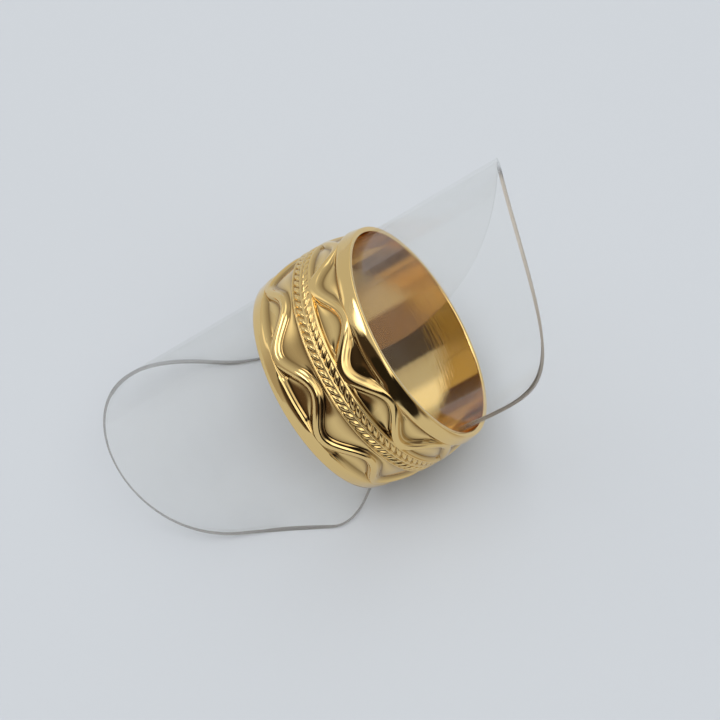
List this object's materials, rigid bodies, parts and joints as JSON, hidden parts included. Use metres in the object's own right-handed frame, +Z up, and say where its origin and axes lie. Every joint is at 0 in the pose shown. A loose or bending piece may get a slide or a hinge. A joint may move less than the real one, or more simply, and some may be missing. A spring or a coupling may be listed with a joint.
{
  "type": "wave ring on a rolled clear sheet",
  "caption": "Wide domed band ring with two raised waves and a twisted rope, leaning on a thin clear sheet rolled up and pushed through it.",
  "frame": {"origin": "on the surface it stands on, under the middle of the object's box", "axes": "+Z up, +X towards the raised end of the rolled sheet, Y across it"},
  "size_m": [0.0338, 0.02, 0.0285],
  "materials": {
    "gold": "polished gold",
    "clear_plastic": "clear gloss"
  },
  "bodies": {
    "root": {"wave_ring": "gold", "clear_sheet": "clear_plastic"}
  },
  "joints": []
}
